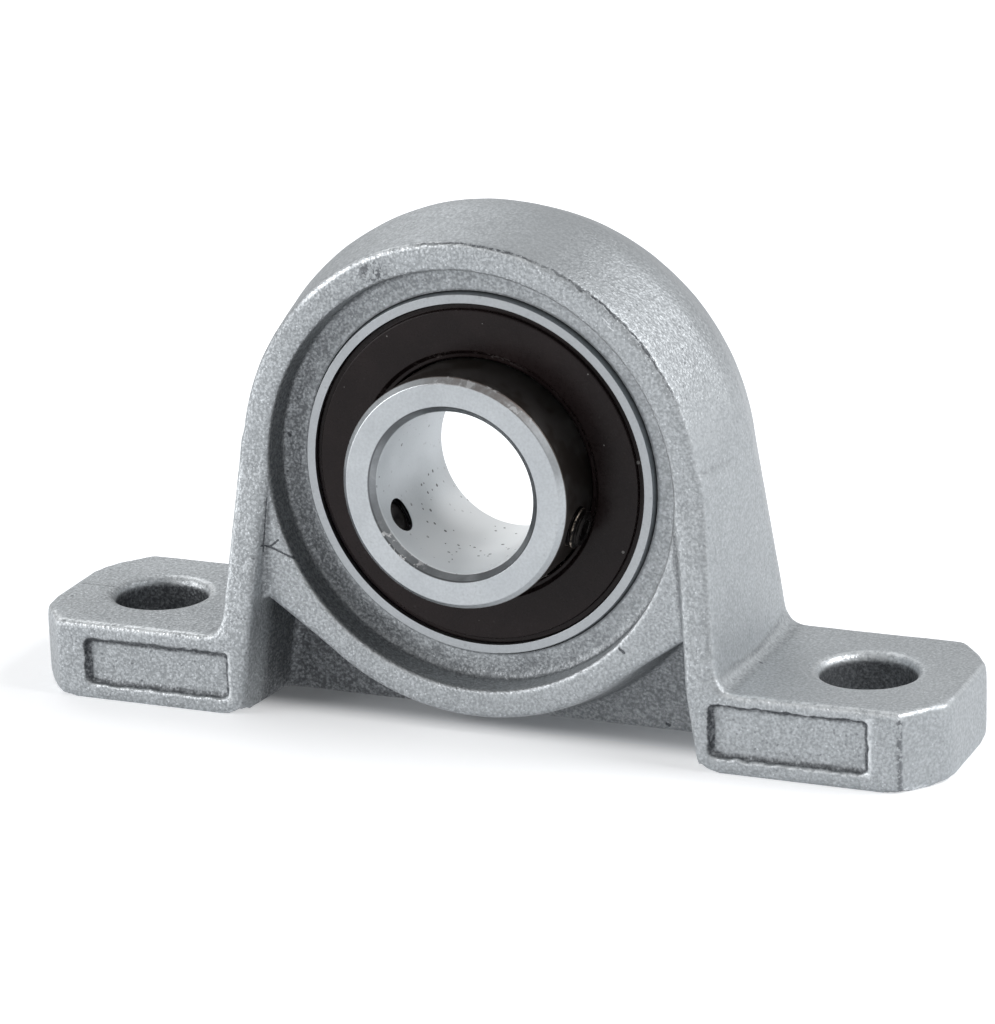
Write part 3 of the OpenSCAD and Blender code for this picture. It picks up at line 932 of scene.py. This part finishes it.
def inner_ring_section():
    """Inner ring: raceway, wide front land for the set screws, and chamfered bore ends."""
    groove_c = PITCH_R - BALL_R - RACE_FIT + GROOVE_R
    open_angle = math.degrees(math.acos((groove_c - LAND_R) / GROOVE_R))
    corners = [(BORE_R, -OUTER_HALF + BORE_CHAMFER, 0.05), (BORE_R + BORE_CHAMFER, -OUTER_HALF, 0.05),
               (LAND_R - 0.25, -OUTER_HALF, 0.08), (LAND_R, -OUTER_HALF + 0.25, 0.08)]
    corners += arc(groove_c, 0, GROOVE_R, 180 + open_angle, 180 - open_angle, 24)
    corners += [(LAND_R, INNER_FRONT - 0.45, 0.12), (LAND_R - 0.42, INNER_FRONT, 0.12),
                (BORE_R + BORE_CHAMFER, INNER_FRONT, 0.06),
                (BORE_R, INNER_FRONT - BORE_CHAMFER, 0.06)]
    return rounded_section(corners)


def seal_section(side):
    """Seal: flat face, stepped lip towards the inner ring and a bead in the outer ring's pocket."""
    front = OUTER_HALF
    bead = SEAL_POCKET_R - 0.02
    corners = [(LIP_R, front - 0.70, 0.05), (LIP_R, front - 0.25, 0.09),
               (LIP_R + 0.30, front - 0.25, 0.06), (LIP_R + 0.55, front, 0.10),
               (SEAL_R, front, 0.12), (SEAL_R, front - 0.40, 0.08), (bead, front - 0.40, 0.10),
               (bead, front - 1.0, 0.10), (bead - 0.65, front - 1.0, 0.08),
               (bead - 0.65, front - 0.70, 0.05)]
    return rounded_section([(r, f * side, c) for r, f, c in corners][::side])


def unit(rows):
    return rows / np.linalg.norm(rows, axis=1, keepdims=True)


def section_normals(section):
    """Start, end and outward normal at both ends of each side of a closed section."""
    start = np.array(section)
    end = np.roll(start, -1, 0)
    way = end - start
    side = unit(np.stack([way[:, 1], -way[:, 0]], 1))
    area = np.sum(start[:, 0] * end[:, 1] - end[:, 0] * start[:, 1])
    side *= 1 if area > 0 else -1
    corner = unit(side + np.roll(side, 1, 0))
    return start, end, side, corner, np.roll(corner, -1, 0)


def drilled_ring(name, section, material):
    """The inner ring with its two tapped holes, shaded as the true turned surface."""
    ring = turned_ring(name, section, material)
    cutters = []
    for key, angle in SCREW_ANGLES.items():
        flare = 0.10
        wide = SCREW_HOLE_R + flare
        mouth = BORE_R + 0.05
        profile = [(0, 5.0), (SCREW_MOUTH_R, 5.0), (SCREW_MOUTH_R, mouth),
                   (SCREW_HOLE_R, mouth + SCREW_HOLE_R - SCREW_MOUTH_R),
                   (SCREW_HOLE_R, LAND_R - flare), (wide, LAND_R + 0.02), (wide, 9.6), (0, 9.6)]
        cutter = solid(key + "_cutter", [circle(r, h, 64) for r, h in profile])
        cutter.transform(screw_place(angle))
        cutter = link(cutter, key + "_cutter")
        cut = ring.modifiers.new(key, "BOOLEAN")
        cut.object = cutter
        cut.solver = "EXACT"
        cutters.append(cutter)
    mesh = baked(ring, name)
    for cutter in cutters:
        bpy.data.objects.remove(cutter)
    give(mesh, material)
    shade_as_section(mesh, section)
    return link(mesh, name)


def screw_place(angle):
    """From a screw's own upright axis, with its distance from the shaft as height, to its place."""
    turn = Matrix.Rotation(math.radians(angle), 4, "Z")
    lay = Matrix.Rotation(math.pi / 2, 4, "Y")
    return onto_shaft() @ turn @ Matrix.Translation((0, 0, SCREW_Z * MM)) @ lay


def shade_as_section(mesh, section):
    """Gives a drilled ring the normals of its section, and its holes the normals of a cylinder."""
    start, end, side, from_n, to_n = section_normals(section)
    way = end - start
    size = np.sum(way * way, 1)
    loops = rows_of(mesh.loops, "vertex_index", 1, np.int32)[:, 0]
    owner = np.repeat(np.arange(len(mesh.polygons)), [p.loop_total for p in mesh.polygons])
    face_n = np.array([p.normal for p in mesh.polygons])[owner]
    middle = np.array([p.center for p in mesh.polygons])[owner] / MM
    co = points_of(mesh)[loops] / MM
    flat = co - [0, 0, SHAFT_H]
    radius = np.hypot(flat[:, 0], flat[:, 2])
    radial = np.stack([flat[:, 0] / radius, 0 * radius, flat[:, 2] / radius], 1)
    here = np.stack([radius, -flat[:, 1]], 1)
    face_side = np.stack([np.sum(face_n * radial, 1), -face_n[:, 1]], 1)
    best = np.full(len(here), 1e9)
    pick = np.zeros((len(here), 2))
    for k in range(len(section)):
        t = np.clip(((here - start[k]) @ way[k]) / size[k], 0, 1)
        gap = np.linalg.norm(here - start[k] - t[:, None] * way[k], axis=1)
        gap = gap + 0.05 * np.linalg.norm(face_side - side[k], axis=1)
        closer = gap < best
        best[closer] = gap[closer]
        blend = from_n[k] * (1 - t[:, None]) + to_n[k] * t[:, None]
        pick[closer] = blend[closer]
    pick = unit(pick)
    out = radial * pick[:, :1]
    out[:, 1] = -pick[:, 1]
    for angle in SCREW_ANGLES.values():
        axis = np.array([math.cos(math.radians(angle)), 0, math.sin(math.radians(angle))])
        spot = flat - [0, -SCREW_Z, 0]
        mid = middle - [0, -SCREW_Z, SHAFT_H]
        from_axis = spot - (spot @ axis)[:, None] * axis
        mid_away = np.linalg.norm(mid - (mid @ axis)[:, None] * axis, axis=1)
        inside = (mid_away < SCREW_HOLE_R + 0.09) & (mid @ axis > 0) & (abs(face_n @ axis) < 0.9)
        inside &= abs(np.hypot(mid[:, 0], mid[:, 2]) - BORE_R) > 0.01
        out[inside] = face_n[inside]
        wall = inside & (abs(face_n @ axis) < 0.2)
        out[wall] = -unit(from_axis[wall])
    mesh.shade_smooth()
    mesh.normals_split_custom_set([tuple(n) for n in out])


# Set screws

def screw_blank():
    """Socket set screw before threading: cup point below, hexagon socket above, fine side rings."""
    crest = SCREW_R - 0.02
    chamfer = 0.35
    hexagon = SOCKET_AF / 2
    floor = SCREW_LEN - SOCKET_DEPTH
    rows = 12 * int(round((SCREW_LEN - 0.04) / SCREW_PITCH))
    heights = [0.02 + (SCREW_LEN - 0.04) * k / rows for k in range(rows + 1)]
    outside = [(0.02, 0.3), (0.70, 0.03), (0.74, 0.0), (0.80, 0.0), (crest - chamfer, 0.0)]
    outside += [(crest - max(0.0, chamfer - h, chamfer - (SCREW_LEN - h)), h) for h in heights]
    outside += [(crest - chamfer - 0.01, SCREW_LEN), (0.98, SCREW_LEN)]
    socket = [(hexagon + 0.05, SCREW_LEN), (hexagon, SCREW_LEN - 0.05), (hexagon, floor + 0.2),
              (hexagon - 0.05, floor + 0.15)]
    loops = [circle(r, h, 48) for r, h in outside] + [circle(r, h, 48, True) for r, h in socket]
    return solid("screw_blank", loops + [circle(0.02, floor - 0.15, 48)])


def threaded_tree():
    """Cuts a helical thread into the side of a turned blank, and marks its crests as worn and bright,
    partly a painted glint.
    """
    tree, given, out = new_group(
        "Cut thread", {"Geometry": ["Blank"], "Float": ["Pitch", "Depth", "Outside radius", "Length"],
                       "Material": ["Finish"]}, {"Geometry": ["Screw"]}, "Geometry")
    place = put(tree, "ShaderNodeSeparateXYZ", {0: put(tree, "GeometryNodeInputPosition")[0]})
    x, y, z = place[0], place[1], place[2]
    radius = (x * x + y * y).do("SQRT")
    turn = y.do("ARCTAN2", x) / (2 * math.pi)
    phase = (z / given["Pitch"] - turn + 4.0).do("FRACT")
    valley = ease(abs(phase * 2.0 - 1.0), 0.14, 0.86)
    cut_to = given["Outside radius"] - valley * given["Depth"]
    on_side = (radius > cut_to * 0.6) * ((z > 1e-5) * (z < given["Length"] - 1e-5))
    push = (cut_to - radius).do("MINIMUM", 0.0) * on_side / radius
    offset = put(tree, "ShaderNodeCombineXYZ", {0: x * push, 1: y * push})
    crest = (valley < 0.1) * (radius > given["Outside radius"] * 0.97)
    stored = put(tree, "GeometryNodeStoreNamedAttribute",
                 {"Geometry": given["Blank"], "Name": "wear_and_highlight", "Value": crest},
                 data_type="FLOAT", domain="POINT")
    moved = put(tree, "GeometryNodeSetPosition", {"Geometry": stored[0], "Offset": offset[0]})
    return coat(tree, moved[0], given, out)


def set_screw(name, angle, material):
    """A threaded set screw in its place."""
    mesh = baked_nodes(link(screw_blank(), name + "_blank"), CUT_THREAD, name,
                       {"Pitch": SCREW_PITCH * MM, "Depth": 0.30 * MM, "Length": SCREW_LEN * MM,
                        "Outside radius": (SCREW_R - 0.02) * MM, "Finish": material})
    mesh.transform(Matrix.Translation((0, 0, SCREW_TIP * MM)))
    mesh.transform(screw_place(angle))
    return smoothed(mesh, name, 32)


# Rivets

def rivets_tree():
    """One rivet at each point of a circle about the shaft."""
    tree, given, out = new_group(
        "Rivets on the pitch circle",
        {"Geometry": ["Rivet"], "Int": ["Count"], "Float": ["Pitch radius", "Start angle"],
         "Material": ["Finish"]}, {"Geometry": ["Rivets"]}, "Geometry")
    points = put(tree, "GeometryNodeMeshCircle",
                 {"Vertices": given["Count"], "Radius": given["Pitch radius"]})
    spread = put(tree, "GeometryNodeInstanceOnPoints", {"Points": points[0], "Instance": given["Rivet"]})
    turn = put(tree, "ShaderNodeCombineXYZ", {2: given["Start angle"]})
    turned = put(tree, "GeometryNodeTransform", {"Geometry": spread[0], "Rotation": turn[0]})
    return coat(tree, turned[0], given, out)


def cage_rivets(material):
    """Eight rivets with low domed heads, through the tabs of both cage halves."""
    tab, head, dome = 0.4, 0.6, 0.25
    turns = [math.pi / 2 * k / 5 for k in range(6)]
    below = [(head * math.sin(a), -tab - dome * math.cos(a)) for a in turns]
    profile = below + [(0.35, -tab + 0.001), (0.35, tab - 0.001)] + [(r, -h) for r, h in below[::-1]]
    rivet = link(solid("rivet", [circle(r, h, 20) for r, h in profile]), "rivet_pattern")
    mesh = baked_nodes(rivet, rivets_tree(), "cage_rivets_domed",
                       {"Count": 8, "Pitch radius": PITCH_R * MM, "Start angle": math.radians(22.5),
                        "Finish": material})
    mesh.transform(onto_shaft())
    return smoothed(mesh, "cage_rivets_domed", 40)


# Studio

def camera():
    """The photograph's viewpoint: 23 degrees to the right of the shaft's front, 18 degrees up."""
    az, el, roll = math.radians(23.105), math.radians(17.906), math.radians(-1.806)
    back = Vector((math.sin(az) * math.cos(el), -math.cos(az) * math.cos(el), math.sin(el)))
    right = Vector((math.cos(az), math.sin(az), 0))
    up = back.cross(right)
    across = math.cos(roll) * right + math.sin(roll) * up
    over = -math.sin(roll) * right + math.cos(roll) * up
    target = (-0.656 * across + 14.318 * over) * MM
    spot = target + back * 331.013 * MM
    lens = bpy.data.cameras.new("camera")
    lens.sensor_fit = "VERTICAL"
    lens.sensor_height = 36.0
    lens.lens = 4492.49 / 1024 * 36.0
    lens.clip_start = 0.01
    lens.clip_end = 20.0
    obj = link(lens, "camera")
    turn = Matrix((across, over, back)).transposed().to_4x4()
    obj.matrix_world = Matrix.Translation(spot) @ turn
    bpy.context.scene.camera = obj


def lamp(name, spot, watts):
    """A square softbox at a spot in metres, which faces the lower part of the bearing."""
    data = bpy.data.lights.new(name, "AREA")
    data.shape = "SQUARE"
    data.size = 0.35
    data.energy = watts
    way = Vector((0, 0, 0.015)) - Vector(spot)
    turn = way.to_track_quat("-Z", "Y").to_matrix().to_4x4()
    link(data, name).matrix_world = Matrix.Translation(spot) @ turn


def studio():
    """White floor and surroundings with plain soft light, strongest from above and the right."""
    work = bmesh.new()
    bmesh.ops.create_grid(work, x_segments=1, y_segments=1, size=1.5)
    mesh = bpy.data.meshes.new("studio_floor")
    work.to_mesh(mesh)
    work.free()
    floor = link(mesh, "studio_floor")
    material = bpy.data.materials.new("white_paper")
    material.use_nodes = True
    tree = material.node_tree
    tree.nodes.clear()
    path = put(tree, "ShaderNodeLightPath")
    mirrored = path["Is Glossy Ray"].larger(path["Is Transmission Ray"])
    seen = mirrored.larger(path["Is Camera Ray"])
    # The floor is darker in the light it throws back than to the camera and in reflections.
    tint = mix_colour(seen, (0.52, 0.52, 0.525), (0.785, 0.80, 0.822))
    paper = put(tree, "ShaderNodeBsdfDiffuse", {"Color": tint})
    place = put(tree, "ShaderNodeSeparateXYZ", {0: put(tree, "ShaderNodeTexCoord")["Object"]})
    # The floor's glow grows with distance from the object: it keeps the shadow dark beneath and beside it,
    # and paints the lamps' shadows out further away.
    away = (abs(place[0]) - FOOT_HALF * MM).larger(abs(place[1]) - FOOT_W / 2 * MM)
    glow = ease(away, -0.0054, -0.0014, 0.03, 0.46)
    glow = glow + remap(away, 0.0, 0.03, 0.0, 0.14) + remap(away, 0.15, 0.7, 0.0, 0.6)
    glow = (path["Is Camera Ray"] * glow).larger(mirrored * 0.38)
    lift = put(tree, "ShaderNodeEmission", {"Color": (1, 1, 1, 1), "Strength": glow})
    both = put(tree, "ShaderNodeAddShader", {0: paper[0], 1: lift[0]})
    fill(tree.nodes.new("ShaderNodeOutputMaterial"), {"Surface": both[0]})
    mesh.materials.append(material)

    world = bpy.data.worlds.new("surroundings")
    bpy.context.scene.world = world
    world.use_nodes = True
    tree = world.node_tree
    path = put(tree, "ShaderNodeLightPath")
    seen = path["Is Camera Ray"].larger(path["Is Transmission Ray"])
    strength = (path["Is Glossy Ray"] * 0.2 + 0.3).larger(seen)
    fill(tree.nodes["Background"], {"Color": (1, 1, 1, 1), "Strength": strength})

    lamp("right_softbox", (0.438, 0.09, 0.401), 2.6)
    lamp("left_rear_softbox", (-0.315, 0.315, 0.401), 0.6)
    lamp("front_left_fill", (-0.47, -0.32, 0.16), 1.6)
    bpy.context.scene.view_settings.view_transform = "Standard"


# Assembly

TURNED_RING = turned_ring_tree()
CUT_THREAD = threaded_tree()

zinc = cast_zinc()
ring_steel = ground_steel("ground_inner_ring", (0.47, 0.495, 0.515), (0.55, 0.577, 0.597), True)
outer_steel = ground_steel("ground_outer_ring", (0.39, 0.41, 0.427), (0.46, 0.483, 0.50), False)
rubber = seal_rubber()
screw_black = black_oxide()
sheet_steel = pressed_sheet()
ball_steel = lapped_ball()

casting = cast_housing(zinc)
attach(casting, "housing")
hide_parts("housing")

outer = turned_ring("outer_ring_turned", outer_ring_section(), outer_steel)
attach(outer, "outer_race")
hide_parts("outer_ring")

for side, word in ((1, "front"), (-1, "rear")):
    seal = turned_ring(word + "_seal_moulded", seal_section(side), rubber)
    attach(seal, "outer_race")
    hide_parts(word + "_seal")

inner = drilled_ring("inner_ring_ground", inner_ring_section(), ring_steel)
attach(inner, "inner_race")
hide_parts("inner_ring")

for node, angle in SCREW_ANGLES.items():
    screw = set_screw(node + "_threaded", angle, screw_black)
    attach(screw, node)
    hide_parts(node)

rivets = cage_rivets(ball_steel)
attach(rivets, "cage")
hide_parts("cage_rivets")

for node in ("cage_front_half", "cage_rear_half", "front_seal_core", "rear_seal_core"):
    give(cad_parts[node].data, sheet_steel)
for number in range(1, 9):
    give(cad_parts[f"ball_{number}"].data, ball_steel)

camera()
studio()

bpy.context.view_layer.update()
